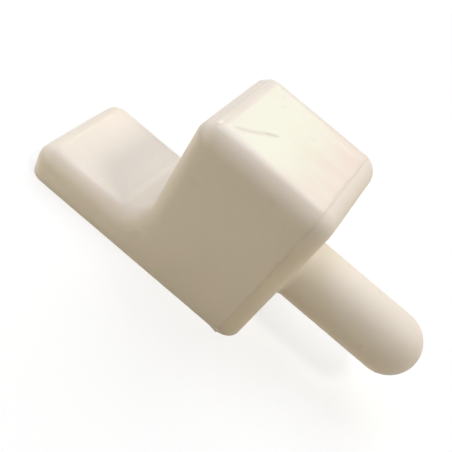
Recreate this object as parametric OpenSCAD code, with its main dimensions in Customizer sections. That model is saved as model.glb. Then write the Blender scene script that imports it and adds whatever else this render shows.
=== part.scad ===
// Hinge pin: one moulded plastic piece with a flat foot, a scooped arm, a
// square block and a round pin that sticks out of the block's end face.
// The foot stands on Z = 0 with the origin at its centre, and the pin points
// along +X.

/* [Body] */
// Length of the body, from the end face to the free end of the arm
body_len = 32.2; // [26:0.5:45]
// Length of the tall block along the pin's direction
block_len = 17; // [14:0.5:18]
// Width of the body
body_w = 16; // [12:0.5:24]
// Height of the block
block_h = 22.5; // [18:0.5:30]
// Thickness of the arm
arm_t = 4.5; // [3:0.25:6]
// Radius of the rounded outer edges
edge_r = 2.3; // [1:0.1:2.6]
// Radius of the scoop between the arm and the block
scoop_r = 4.1; // [2:0.1:5]

/* [Pin] */
// Diameter of the pin
pin_d = 8; // [5:0.5:9]
// Length of the pin, from the end face to the top of its dome
pin_len = 17.8; // [12:0.2:30]
// Height of the pin's axis above the foot
pin_z = 9.4; // [8:0.2:11]
// Radius of the fillet at the root of the pin
root_r = 0.8; // [0.2:0.1:1]

/* [Mould marks] */
// Distance of the parting line from the end face
part_x = 2.2; // [1.5:0.1:2.6]
// Width of the fine ridge along the parting line
ridge_w = 0.16; // [0.1:0.02:0.3]
// Height of that ridge above the faces
ridge_h = 0.05; // [0.02:0.01:0.1]
// Height of the burr where the ridge meets the front edge of the foot
burr_h = 0.2; // [0.1:0.05:0.4]
// Length of the burr along that edge
burr_len = 1.1; // [0.6:0.1:1.6]

/* [Hidden] */
$fn = 96;
plastic = [0.93, 0.90, 0.84];
pin_r = pin_d / 2;
pin_root = 1;                        // how deep the pin's profile starts in the block
stock = 3;                           // stock under the foot, cut off at Z = 0
face_x = body_len / 2;               // end face that carries the pin
// Centre lines of the rounded edges, one radius inside the faces
end_x = face_x - edge_r;
wall_x = face_x - block_len + edge_r;
tail_x = -face_x + edge_r;
arm_z = arm_t - edge_r;
top_z = block_h - edge_r;
side_y = body_w / 2 - edge_r;
// Axis of the scoop
scoop_x = face_x - block_len - scoop_r;
scoop_z = arm_t + scoop_r;

// Upright rectangle in X and Z, grown by r, with its upper corners rounded
module grown_box(x0, x1, z1, r) {
    translate([x0 - r, -stock])
        square([x1 - x0 + 2 * r, z1 + stock]);
    translate([x0, -stock])
        square([x1 - x0, z1 + r + stock]);
    if (r > 0)
        for (x = [x0, x1])
            translate([x, z1])
                circle(r = r);
}

// Side outline of the body: r = 0 is the flat of a side face, r = edge_r the full outline
module side_outline(r) {
    grown_box(tail_x, wall_x, arm_z, r);
    grown_box(wall_x, end_x, top_z, r);
    difference() {
        translate([scoop_x, 0])
            square([wall_x - scoop_x, scoop_z]);
        translate([scoop_x, scoop_z])
            circle(r = scoop_r + edge_r - r);
    }
}

// Stands a side outline up in the XZ plane and gives it a width along Y
module slab(width) {
    rotate([90, 0, 0])
        linear_extrude(height = width, center = true)
            children();
}

// Upright rounded edge at x, up to the ball at z
module post(x, z) {
    translate([x, 0, -stock])
        cylinder(r = edge_r, h = z + stock);
}

// Level rounded edge from x0 to x1 at the height z
module rail(x0, x1, z) {
    translate([x0, 0, z])
        rotate([0, 90, 0])
            cylinder(r = edge_r, h = x1 - x0);
}

// Rounded corner between a post and a rail
module ball(x, z) {
    translate([x, 0, z])
        sphere(r = edge_r);
}

// Rounded edge that runs round the scoop, from the arm's rail up to the block's post
module scoop_bend() {
    translate([scoop_x, 0, scoop_z])
        rotate([90, 0, 0])
            rotate([0, 0, -90])
                rotate_extrude(angle = 90)
                    translate([scoop_r + edge_r, 0])
                        circle(r = edge_r);
}

// All rounded edges of one side face
module side_edges() {
    post(tail_x, arm_z);
    ball(tail_x, arm_z);
    rail(tail_x, scoop_x, arm_z);
    scoop_bend();
    translate([wall_x, 0, scoop_z])
        cylinder(r = edge_r, h = top_z - scoop_z);
    ball(wall_x, top_z);
    rail(wall_x, end_x, top_z);
    ball(end_x, top_z);
    post(end_x, top_z);
}

// Arm, scoop and block with rounded edges, cut off flat at the foot
module body() {
    difference() {
        union() {
            slab(2 * side_y) side_outline(edge_r);
            slab(body_w) side_outline(0);
            for (side = [-1, 1])
                translate([0, side * side_y, 0])
                    side_edges();
        }
        translate([-body_len, -body_w, -2 * stock])
            cube([2 * body_len, 2 * body_w, 2 * stock]);
    }
}

// Half section of the pin: radius along X, length along Y
module pin_section() {
    translate([0, -pin_root])
        square([pin_r + root_r, pin_root]);
    square([pin_r, pin_len - pin_r]);
    intersection() {
        translate([0, pin_len - pin_r])
            circle(r = pin_r);
        square([pin_r, pin_len]);
    }
    translate([pin_r, 0])
        difference() {
            square(root_r);
            translate([root_r, root_r])
                circle(r = root_r);
        }
}

// Round pin with a domed tip and a small fillet at its root
module pin() {
    translate([face_x, 0, pin_z])
        rotate([0, 90, 0])
            rotate_extrude()
                pin_section();
}

// Fine ridge left by the joint of the two mould halves, all round the block
module parting_ridge() {
    w = body_w + 2 * ridge_h;
    r = edge_r + ridge_h;
    translate([face_x - part_x - ridge_w / 2, 0, 0])
        rotate([90, 0, 90])
            linear_extrude(height = ridge_w) {
                translate([-w / 2, 0])
                    square([w, top_z]);
                translate([-side_y, 0])
                    square([2 * side_y, block_h + ridge_h]);
                for (y = [-side_y, side_y])
                    translate([y, top_z])
                        circle(r = r);
            }
}

// Small burr of plastic where the parting line meets the front edge of the foot
module burr() {
    translate([face_x - part_x, -body_w / 2, 0])
        linear_extrude(height = 2 * burr_h)
            polygon([[-burr_len, 0], [0, -burr_h], [burr_h, 0], [0, burr_h]]);
}

module hinge_pin() {
    color(plastic)
        union() {
            body();
            pin();
            parting_ridge();
            burr();
        }
}

hinge_pin();
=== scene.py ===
"""Hinge pin in cream-white moulded plastic, standing on its flat foot."""

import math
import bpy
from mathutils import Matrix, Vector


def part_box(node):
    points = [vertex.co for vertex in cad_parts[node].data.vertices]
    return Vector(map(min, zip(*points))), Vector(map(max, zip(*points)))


bl_info = {
    "name": "Hinge Pin",
    "version": (1, 0, 0),
    "blender": (4, 5, 0),
    "location": "View3D > Sidebar > Hinge Pin",
    "description": "Gives the moulded hinge pin its plastic finish and sets up the studio",
    "category": "Object",
}

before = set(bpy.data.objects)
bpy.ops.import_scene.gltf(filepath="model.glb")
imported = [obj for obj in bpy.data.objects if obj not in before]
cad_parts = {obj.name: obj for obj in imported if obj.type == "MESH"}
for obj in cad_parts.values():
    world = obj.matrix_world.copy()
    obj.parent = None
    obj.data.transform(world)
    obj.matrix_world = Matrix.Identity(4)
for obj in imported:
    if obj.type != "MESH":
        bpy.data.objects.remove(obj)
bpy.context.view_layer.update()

import bpy
from mathutils import Vector

NODE = "hinge_pin"
MM = 0.001
RENDER_PX = 452             # width and height of the render, in pixels

# Places on the moulding, in millimetres from the middle of the flat foot
LOW, HIGH = (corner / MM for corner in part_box(NODE))
TOP_Z = HIGH.z              # flat top of the block
FRONT_Y = -8.0              # front face of the body
END_X = 16.1                # end face of the block, where the pin stands
BLOCK_X = -0.9              # wall of the block above the scoop
PART_X = END_X - 2.2        # parting line between the mould halves
ARM_Z = 4.5                 # top of the arm
SEAM_X = PART_X + 0.15      # middle of the dirty line beside the parting line
MIDDLE_Z = 11               # height that the lamps are turned to

# Relief of the skin, in millimetres
PEEL_DEPTH = 0.006
SCRATCH_DEPTH = 0.05

# Marks left by use. The scratch: start, end, half width (mm) and how strongly each part shows
SCRATCH = (
    ((2.15, -5.00, TOP_Z), (3.55, -3.78, TOP_Z), 0.45, 0.13),
    ((3.55, -3.78, TOP_Z), (4.60, -2.62, TOP_Z), 0.43, 0.14),
    ((4.60, -2.62, TOP_Z), (5.45, -1.95, TOP_Z), 0.46, 0.2),
)
# Specks: place, radius (mm) and how strongly each shows
SPECKS = (
    ((5.45, FRONT_Y, 0.92), 0.35, 0.12),
    ((13.85, FRONT_Y, 15.0), 0.35, 0.17),
    ((1.88, FRONT_Y, 15.88), 1.0, 0.05),
    ((9.57, FRONT_Y, 20.54), 0.5, 0.08),
    ((2.89, 4.7, TOP_Z), 0.5, 0.07),
    ((3.64, 3.22, TOP_Z), 0.45, 0.06),
    ((8.4, 1.9, TOP_Z), 0.45, 0.07),
    ((25.23, 1.01, 13.27), 0.35, 0.14),
    ((27.23, -3.99, 9.64), 0.35, 0.12),
)
# Fine pale lines in the skin: start, end, half width (mm) and strength
FLOW_LINES = (
    ((-4.50, -4.50, ARM_Z), (-4.02, 3.84, ARM_Z), 0.20, 0.22),
    ((-4.89, -4.12, ARM_Z), (-5.45, -2.79, ARM_Z), 0.18, 0.16),
    ((-6.69, 2.47, ARM_Z), (-5.16, 1.53, ARM_Z), 0.18, 0.12),
    ((-6.48, 3.09, ARM_Z), (-4.94, 2.14, ARM_Z), 0.18, 0.12),
    ((-6.27, 3.71, ARM_Z), (-4.91, 2.77, ARM_Z), 0.18, 0.12),
    ((-1.59, FRONT_Y, 3.51), (-0.69, FRONT_Y, 4.93), 0.45, 0.3),
    ((-0.69, FRONT_Y, 4.93), (0.73, FRONT_Y, 5.13), 0.45, 0.3),
    ((0.73, FRONT_Y, 5.13), (0.33, FRONT_Y, 3.66), 0.45, 0.2),
    ((10.9, 4.95, TOP_Z), (12.4, 4.5, TOP_Z), 0.32, 0.25),
)


# Floor: colour that it lights the object with, grey that takes the shadow, its own glow, the
# distances from the foot (mm) between which it turns to plain white, and its gap below (m)
PAPER = "E5DBC6"
SHADE_GREY = 0.35
FLOOR_GLOW = 0.72
WHITE_FROM = 50
WHITE_BY = 130
FLOOR_GAP = 1e-5

# Camera: place and sensor width (mm), turn about X, Y and Z (degrees), shift and focal
# length (pixels) and nearest distance that it sees (m)
CAMERA_PLACE = (11.454, -54.673, 58.869)
SENSOR_WIDTH = 36
CAMERA_TURN = (37.805, -26.334, 31.722)
CAMERA_SHIFT_X = -9.0
CAMERA_SHIFT_Y = 27.5
FOCAL_PX = 625.6
CLIP_START = 0.005


def linear(hex_colour):
    """Turns an sRGB hex value such as "F0E8DA" to a linear RGB tuple."""
    channels = [int(hex_colour[i : i + 2], 16) / 255 for i in (0, 2, 4)]
    return tuple(c / 12.92 if c <= 0.04045 else ((c + 0.055) / 1.055) ** 2.4 for c in channels)


def add(tree, kind, inputs=None, **settings):
    """Adds a node with its settings; each input is a value, a node or one of a node's outputs."""
    node = tree.nodes.new(kind)
    for name, value in settings.items():
        setattr(node, name, value)
    for socket, value in (inputs or {}).items():
        if isinstance(value, bpy.types.Node):
            value = value.outputs[0]
        if isinstance(value, bpy.types.NodeSocket):
            tree.links.new(value, node.inputs[socket])
        else:
            node.inputs[socket].default_value = value
    return node


def stroke(tree, place, mark):
    """Mask of one mark: its strength on the line from start to end, 0 at half its width."""
    start, end, half_width, strength = mark
    run = Vector(end) - Vector(start)
    off = add(tree, "ShaderNodeVectorMath", {0: place, 1: start}, operation="SUBTRACT")
    if run.length > 0:
        pace = run / run.length_squared
        dot = add(tree, "ShaderNodeVectorMath", {0: off, 1: pace}, operation="DOT_PRODUCT")
        along = add(tree, "ShaderNodeClamp", {"Value": dot.outputs["Value"]})
        gone = add(tree, "ShaderNodeVectorMath", {0: run, "Scale": along}, operation="SCALE")
        off = add(tree, "ShaderNodeVectorMath", {0: off, 1: gone}, operation="SUBTRACT")
    distance = add(tree, "ShaderNodeVectorMath", {0: off}, operation="LENGTH").outputs["Value"]
    fall = {"Value": distance, "From Min": 0.15 * half_width, "From Max": half_width}
    fall.update({"To Min": strength, "To Max": 0.0})
    return add(tree, "ShaderNodeMapRange", fall, interpolation_type="SMOOTHSTEP")


def strongest(tree, masks):
    """Joins masks and keeps the strongest at each point."""
    joined = masks[0]
    for mask in masks[1:]:
        joined = add(tree, "ShaderNodeMath", {0: joined, 1: mask}, operation="MAXIMUM")
    return joined


# ---------------------------------------------------------------- properties


class HingePinFinish(bpy.types.PropertyGroup):
    """Colours and surface sizes of the moulded plastic."""

    plastic: bpy.props.FloatVectorProperty(
        name="Plastic",
        description="Colour of the cream-white plastic",
        subtype="COLOR",
        size=3,
        min=0,
        max=1,
        default=linear("F4EBDE"),
    )
    # Pinker colour: real clouds over the whole body, and streaks of painted reflection on the flat top
    cloud_and_reflection_colour: bpy.props.FloatVectorProperty(
        name="Clouds and reflection streaks",
        description="Slightly pinker colour of the clouds and the painted reflection streaks",
        subtype="COLOR",
        size=3,
        min=0,
        max=1,
        default=linear("EFDED0"),
    )
    # Painted light: yellower colour for the light on the walls' band between the parting line and the
    # end face
    painted_band_light_colour: bpy.props.FloatVectorProperty(
        name="Lit band past the line",
        description="Slightly yellower colour of the block's walls past the parting line",
        subtype="COLOR",
        size=3,
        min=0,
        max=1,
        default=linear("F0E4C8"),
    )
    grime: bpy.props.FloatVectorProperty(
        name="Grime",
        description="Brown dirt held in the scratch and along the parting line",
        subtype="COLOR",
        size=3,
        min=0,
        max=1,
        default=linear("9C8266"),
    )
    roughness: bpy.props.FloatProperty(
        name="Roughness",
        description="Roughness of the satin surface left by the polished mould",
        min=0,
        max=1,
        default=0.33,
        subtype="FACTOR",
    )
    pin_roughness: bpy.props.FloatProperty(
        name="Roughness, pin side",
        description="Roughness of the duller skin on the pin's side of the parting line",
        min=0,
        max=1,
        default=0.6,
        subtype="FACTOR",
    )
    rubbed_roughness: bpy.props.FloatProperty(
        name="Roughness, flat top",
        description="Roughness of the flat top, smoother than the rest as if rubbed by use",
        min=0,
        max=1,
        default=0.24,
        subtype="FACTOR",
    )


class HingePinStage(bpy.types.PropertyGroup):
    """Floor, lamps and camera."""

    floor_size: bpy.props.FloatProperty(
        name="Floor size",
        description="Side of the square floor",
        default=0.45,
        min=0.4,
        unit="LENGTH",
    )
    lamp_distance: bpy.props.FloatProperty(
        name="Lamp distance",
        description="Distance of a lamp from the middle of the object, where its share is 1",
        default=0.3,
        min=0.1,
        unit="LENGTH",
    )
    focal: bpy.props.FloatProperty(
        name="Focal length",
        description="Focal length of the camera in render widths",
        default=FOCAL_PX / RENDER_PX,
        min=0.5,
    )


# ----------------------------------------------------------------- materials


def moulded_plastic(finish):
    """Injection-moulded polyamide: cream-white, satin, a little light passes under the skin.

    The eye sees soft shading with faint pinker streaks on the flat top that paint its patchy
    reflection, a yellower band of painted light on the walls past the parting line, a thin dirty line
    where the mould halves met, and a few marks of handling.
    """
    material = bpy.data.materials.new("injection_moulded_polyamide")
    material.use_nodes = True
    tree = material.node_tree
    tree.nodes.clear()
    metres = add(tree, "ShaderNodeTexCoord").outputs["Object"]
    place = add(tree, "ShaderNodeVectorMath", {0: metres, "Scale": 1 / MM}, operation="SCALE")
    x, _, z = add(tree, "ShaderNodeSeparateXYZ", {0: place}).outputs

    # Marks run a little unevenly, so their places are shifted by up to a quarter millimetre
    waver = add(tree, "ShaderNodeTexNoise", {"Vector": place, "Scale": 0.4, "Detail": 1.0})
    spread = {0: waver.outputs["Color"], 1: (0.5, 0.5, 0.5), 2: (-0.25, -0.25, -0.25)}
    shift = add(tree, "ShaderNodeVectorMath", spread, operation="MULTIPLY_ADD")
    uneven = add(tree, "ShaderNodeVectorMath", {0: place, 1: shift}, operation="ADD")

    # Cream base with broad, mild clouds about 9 mm across
    clouds = add(tree, "ShaderNodeTexNoise", {"Vector": place, "Scale": 0.11, "Detail": 3.0})
    amount = add(tree, "ShaderNodeMath", {0: clouds, 1: 0.5}, operation="MULTIPLY")
    blend = {0: amount, 6: (*finish.plastic, 1), 7: (*finish.cloud_and_reflection_colour, 1)}
    colour = add(tree, "ShaderNodeMix", blend, data_type="RGBA").outputs[2]

    # Masks: 1 on the flat top, 1 past the parting line, and 1 on the flat top before the line
    rise = {"Value": z, "From Min": TOP_Z - 0.8, "From Max": TOP_Z - 0.2}
    on_top = add(tree, "ShaderNodeMapRange", rise, interpolation_type="SMOOTHSTEP")
    rise = {"Value": x, "From Min": PART_X - 0.1, "From Max": PART_X + 0.4}
    past_line = add(tree, "ShaderNodeMapRange", rise, interpolation_type="SMOOTHSTEP")
    before_line = add(tree, "ShaderNodeMath", {0: 1.0, 1: past_line}, operation="SUBTRACT")
    flat_top = add(tree, "ShaderNodeMath", {0: on_top, 1: before_line}, operation="MULTIPLY")

    # Painted reflection on the flat top: pinker streaks, long in X and 1 to 2 mm wide, stronger
    # towards the end face, where the top's reflection is patchy and weaker
    narrow = {0: place, 1: (0.25, 1, 1)}
    drawn_out = add(tree, "ShaderNodeVectorMath", narrow, operation="MULTIPLY")
    streak_noise = {"Vector": drawn_out, "Scale": 0.55, "Detail": 3.0, "Roughness": 0.55}
    streaks = add(tree, "ShaderNodeTexNoise", streak_noise)
    rise = {"Value": streaks, "From Min": 0.38, "From Max": 0.66, "To Min": 0.3, "To Max": 1.0}
    streaks = add(tree, "ShaderNodeMapRange", rise, interpolation_type="SMOOTHSTEP")
    rise = {"Value": x, "From Min": BLOCK_X + 5, "From Max": END_X - 5, "To Min": 0.05, "To Max": 0.85}
    toward_end = add(tree, "ShaderNodeMapRange", rise, interpolation_type="SMOOTHSTEP")
    amount = add(tree, "ShaderNodeMath", {0: streaks, 1: toward_end}, operation="MULTIPLY")
    amount = add(tree, "ShaderNodeMath", {0: amount, 1: flat_top}, operation="MULTIPLY")
    blend = {0: amount, 6: colour, 7: (*finish.cloud_and_reflection_colour, 1)}
    colour = add(tree, "ShaderNodeMix", blend, data_type="RGBA").outputs[2]

    # Painted light: past the parting line the walls of the block, up to the end face, are painted a
    # little yellower for the light that this band catches
    fall = {"Value": x, "From Min": END_X - 0.2, "From Max": END_X + 0.8, "To Min": 0.5, "To Max": 0.0}
    on_end = add(tree, "ShaderNodeMapRange", fall, interpolation_type="SMOOTHSTEP")
    fall = {"Value": z, "From Min": TOP_Z - 6, "From Max": TOP_Z - 2.5, "To Min": 1.0, "To Max": 0.0}
    on_wall = add(tree, "ShaderNodeMapRange", fall, interpolation_type="SMOOTHSTEP")
    amount = add(tree, "ShaderNodeMath", {0: past_line, 1: on_end}, operation="MULTIPLY")
    amount = add(tree, "ShaderNodeMath", {0: amount, 1: on_wall}, operation="MULTIPLY")
    blend = {0: amount, 6: colour, 7: (*finish.painted_band_light_colour, 1)}
    colour = add(tree, "ShaderNodeMix", blend, data_type="RGBA").outputs[2]

    # Pale flow lines
    pale = strongest(tree, [stroke(tree, uneven, mark) for mark in FLOW_LINES])
    blend = {0: pale, 6: colour, 7: (*linear("FFFAF0"), 1)}
    colour = add(tree, "ShaderNodeMix", blend, data_type="RGBA").outputs[2]

    # Dirt beside the parting line: clearer on the top than on the walls, and a little broken
    uneven_x = add(tree, "ShaderNodeSeparateXYZ", {0: uneven})
    off = add(tree, "ShaderNodeMath", {0: uneven_x, 1: SEAM_X}, operation="SUBTRACT")
    off = add(tree, "ShaderNodeMath", {0: off}, operation="ABSOLUTE")
    fall = {"Value": off, "From Min": 0.04, "From Max": 0.26, "To Min": 1.0, "To Max": 0.0}
    seam = add(tree, "ShaderNodeMapRange", fall, interpolation_type="SMOOTHSTEP")
    broken = add(tree, "ShaderNodeTexNoise", {"Vector": place, "Scale": 0.45})
    rise = {"Value": broken, "From Min": 0.45, "From Max": 0.7, "To Min": 0.07, "To Max": 0.14}
    broken = add(tree, "ShaderNodeMapRange", rise, interpolation_type="SMOOTHSTEP")
    kept = add(tree, "ShaderNodeMath", {0: on_top, 1: 0.16}, operation="MULTIPLY")
    kept = strongest(tree, [kept, broken])
    seam = add(tree, "ShaderNodeMath", {0: seam, 1: kept}, operation="MULTIPLY")

    # Scratch and specks
    scratch = strongest(tree, [stroke(tree, uneven, mark) for mark in SCRATCH])
    specks = [stroke(tree, uneven, (spot, spot, size, strength)) for spot, size, strength in SPECKS]
    blend = {0: strongest(tree, [seam, scratch, *specks]), 6: colour, 7: (*finish.grime, 1)}
    colour = add(tree, "ShaderNodeMix", blend, data_type="RGBA").outputs[2]

    # Relief in millimetres: mould skin with peel about 1 mm across, and the scratch cut into it
    peel = add(tree, "ShaderNodeTexNoise", {"Vector": place, "Scale": 0.9})
    relief = add(tree, "ShaderNodeMath", {0: peel, 1: PEEL_DEPTH}, operation="MULTIPLY")
    cut = {0: scratch, 1: -SCRATCH_DEPTH, 2: relief}
    relief = add(tree, "ShaderNodeMath", cut, operation="MULTIPLY_ADD")
    bump = add(tree, "ShaderNodeBump", {"Height": relief, "Strength": 1.0, "Distance": MM})

    # The flat top is smoother, as if rubbed by use, the skin past the parting line is duller,
    # and the scratch is rough inside
    rubbed = {0: flat_top, 2: finish.roughness, 3: finish.rubbed_roughness}
    rubbed = add(tree, "ShaderNodeMix", rubbed, data_type="FLOAT")
    skin = {0: past_line, 2: rubbed, 3: finish.pin_roughness}
    skin = add(tree, "ShaderNodeMix", skin, data_type="FLOAT")
    cut = {0: scratch, 1: 0.8, 2: skin}
    even = add(tree, "ShaderNodeMath", cut, operation="MULTIPLY_ADD")
    cloudy = {"Vector": place, "Scale": 0.5, "Detail": 4.0, "Roughness": 0.6}
    cloudy = {"Value": add(tree, "ShaderNodeTexNoise", cloudy), "To Min": -0.05, "To Max": 0.05}
    cloudy = add(tree, "ShaderNodeMapRange", cloudy)
    roughness = add(tree, "ShaderNodeMath", {0: even, 1: cloudy}, operation="ADD")
    look = {
        "Base Color": colour,
        "Roughness": roughness,
        "IOR": 1.53,
        "Subsurface Weight": 0.2,
        "Subsurface Radius": (1.0, 0.75, 0.5),
        "Subsurface Scale": 1.5 * MM,
        "Normal": bump,
    }
    shader = add(tree, "ShaderNodeBsdfPrincipled", look)
    add(tree, "ShaderNodeOutputMaterial", {"Surface": shader})
    return material


def seen_directly(tree):
    """1 for rays from the camera, off a gloss or through a clear body; 0 for lighting rays."""
    rays = add(tree, "ShaderNodeLightPath").outputs
    return strongest(tree, [rays[f"Is {kind} Ray"] for kind in ("Camera", "Glossy", "Transmission")])


def studio_floor():
    """Matt pale paper: near white to the eye and in reflections, warm where it lights the foot."""
    material = bpy.data.materials.new("pale_paper")
    material.use_nodes = True
    tree = material.node_tree
    tree.nodes.clear()
    paper = add(tree, "ShaderNodeBsdfDiffuse", {"Color": (*linear(PAPER), 1)})
    grey = (SHADE_GREY, SHADE_GREY, SHADE_GREY, 1)
    shade = add(tree, "ShaderNodeBsdfDiffuse", {"Color": grey})
    lift = add(tree, "ShaderNodeEmission", {"Color": (1, 1, 1, 1), "Strength": FLOOR_GLOW})
    lifted = add(tree, "ShaderNodeAddShader", {0: shade, 1: lift})
    # The sheet runs out to plain white past the object's shadow, so that its far edge isn't seen
    place = add(tree, "ShaderNodeTexCoord").outputs["Object"]
    away = add(tree, "ShaderNodeVectorMath", {0: place}, operation="LENGTH").outputs["Value"]
    fade = {"Value": away, "From Min": WHITE_FROM * MM, "From Max": WHITE_BY * MM}
    fade = add(tree, "ShaderNodeMapRange", fade, interpolation_type="SMOOTHSTEP")
    white = add(tree, "ShaderNodeEmission", {"Color": (1, 1, 1, 1), "Strength": 1.0})
    sheet = add(tree, "ShaderNodeMixShader", {0: fade, 1: lifted, 2: white})
    both = add(tree, "ShaderNodeMixShader", {0: seen_directly(tree), 1: paper, 2: sheet})
    add(tree, "ShaderNodeOutputMaterial", {"Surface": both})
    return material


# ----------------------------------------------------------------- operators


class HINGEPIN_OT_finish(bpy.types.Operator):
    """Give the moulded body its plastic"""

    bl_idname = "hingepin.finish"
    bl_label = "Finish the pin"

    def execute(self, context):
        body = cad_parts[NODE]
        material = moulded_plastic(context.scene.hinge_pin_finish)
        for slot in body.material_slots:
            slot.material = material
        return {"FINISHED"}


def lamp(name, place, target, width, height, power, colour):
    """Adds a soft lamp at a place in millimetres, turned towards a target."""
    data = bpy.data.lights.new(name, "AREA")
    data.shape = "RECTANGLE"
    data.size = width * MM
    data.size_y = height * MM
    data.energy = power
    data.color = colour
    lamp_object = bpy.data.objects.new(name, data)
    bpy.context.scene.collection.objects.link(lamp_object)
    lamp_object.location = Vector(place) * MM
    direction = Vector(target) - Vector(place)
    lamp_object.rotation_euler = direction.to_track_quat("-Z", "Y").to_euler()
    return lamp_object


# Lamps: name, direction from the middle of the object, share of the lamp distance, width and
# height (mm), power (W) and colour
LAMPS = (
    ("ceiling_lamp", (0.55, -0.18, 1), 1.0, 60, 60, 0.333, (1.00, 0.96, 0.87)),
    ("ceiling_behind", (0, 1, 1.7), 1.0, 220, 220, 0.320, (0.70, 0.95, 1.00)),
    ("wall_behind", (0, 1, 1), 1.0, 220, 220, 0.172, (1.00, 0.58, 0.52)),
    ("ceiling_left", (-0.4, 0.2, 1), 1.0, 100, 100, 0.128, (0.74, 0.65, 1.00)),
    ("window", (-0.076, 0.804, 0.604), 1.0, 58, 55, 0.027, (0.25, 1.00, 0.54)),
    ("wall_behind_left", (-0.52, 0.675, 0.53), 1.0, 45, 45, 0.062, (1.00, 1.00, 0.80)),
    ("wall_behind_right", (1, 0.6, 0.5), 1.0, 160, 160, 0.092, (1.00, 0.86, 0.74)),
    ("near_left", (-120, 0, 39), 0.42, 200, 90, 0.050, (0.99, 0.98, 1.00)),
    ("near_front_left", (-90, -80, 14), 0.4, 120, 50, 0.0195, (1.00, 0.95, 0.60)),
)


class HINGEPIN_OT_stage(bpy.types.Operator):
    """Set up the floor, the soft lamps, the world and the camera"""

    bl_idname = "hingepin.stage"
    bl_label = "Set the stage"

    def execute(self, context):
        scene = context.scene
        stage = scene.hinge_pin_stage
        below = (0, 0, LOW.z * MM - FLOOR_GAP)
        bpy.ops.mesh.primitive_plane_add(size=stage.floor_size, location=below)
        floor = context.object
        floor.name = "floor"
        floor.data.materials.append(studio_floor())

        middle = Vector((0, 0, MIDDLE_Z))
        for name, direction, share, width, height, power, colour in LAMPS:
            away = Vector(direction).normalized() * share * stage.lamp_distance / MM
            lamp(name, middle + away, middle, width, height, power, colour)

        world = bpy.data.worlds.new("studio")
        scene.world = world
        world.use_nodes = True
        tree = world.node_tree
        tree.nodes.clear()
        room = add(tree, "ShaderNodeBackground", {"Color": (1, 1, 1, 1), "Strength": 0.0})
        white = add(tree, "ShaderNodeBackground", {"Color": (1, 1, 1, 1), "Strength": 1.0})
        both = add(tree, "ShaderNodeMixShader", {0: seen_directly(tree), 1: room, 2: white})
        add(tree, "ShaderNodeOutputWorld", {"Surface": both})

        data = bpy.data.cameras.new("camera")
        camera = bpy.data.objects.new("camera", data)
        scene.collection.objects.link(camera)
        data.sensor_width = SENSOR_WIDTH
        data.lens = stage.focal * data.sensor_width
        data.shift_x = CAMERA_SHIFT_X / RENDER_PX
        data.shift_y = CAMERA_SHIFT_Y / RENDER_PX
        data.clip_start = CLIP_START
        camera.location = Vector(CAMERA_PLACE) * MM
        camera.rotation_euler = [math.radians(angle) for angle in CAMERA_TURN]
        scene.camera = camera
        scene.view_settings.view_transform = "Standard"
        return {"FINISHED"}


class HINGEPIN_PT_panel(bpy.types.Panel):
    """Sidebar panel with the sizes, colours and steps of the hinge pin"""

    bl_label = "Hinge Pin"
    bl_idname = "HINGEPIN_PT_panel"
    bl_space_type = "VIEW_3D"
    bl_region_type = "UI"
    bl_category = "Hinge Pin"

    def draw(self, context):
        layout = self.layout
        for group in (context.scene.hinge_pin_finish, context.scene.hinge_pin_stage):
            for name in group.__annotations__:
                layout.prop(group, name)
        for operator in (HINGEPIN_OT_finish, HINGEPIN_OT_stage):
            layout.operator(operator.bl_idname)


CLASSES = (
    HingePinFinish,
    HingePinStage,
    HINGEPIN_OT_finish,
    HINGEPIN_OT_stage,
    HINGEPIN_PT_panel,
)


def register():
    for cls in CLASSES:
        bpy.utils.register_class(cls)
    bpy.types.Scene.hinge_pin_finish = bpy.props.PointerProperty(type=HingePinFinish)
    bpy.types.Scene.hinge_pin_stage = bpy.props.PointerProperty(type=HingePinStage)


def unregister():
    del bpy.types.Scene.hinge_pin_stage
    del bpy.types.Scene.hinge_pin_finish
    for cls in reversed(CLASSES):
        bpy.utils.unregister_class(cls)


def main():
    register()
    bpy.ops.hingepin.finish()
    bpy.ops.hingepin.stage()


if __name__ == "__main__":
    main()
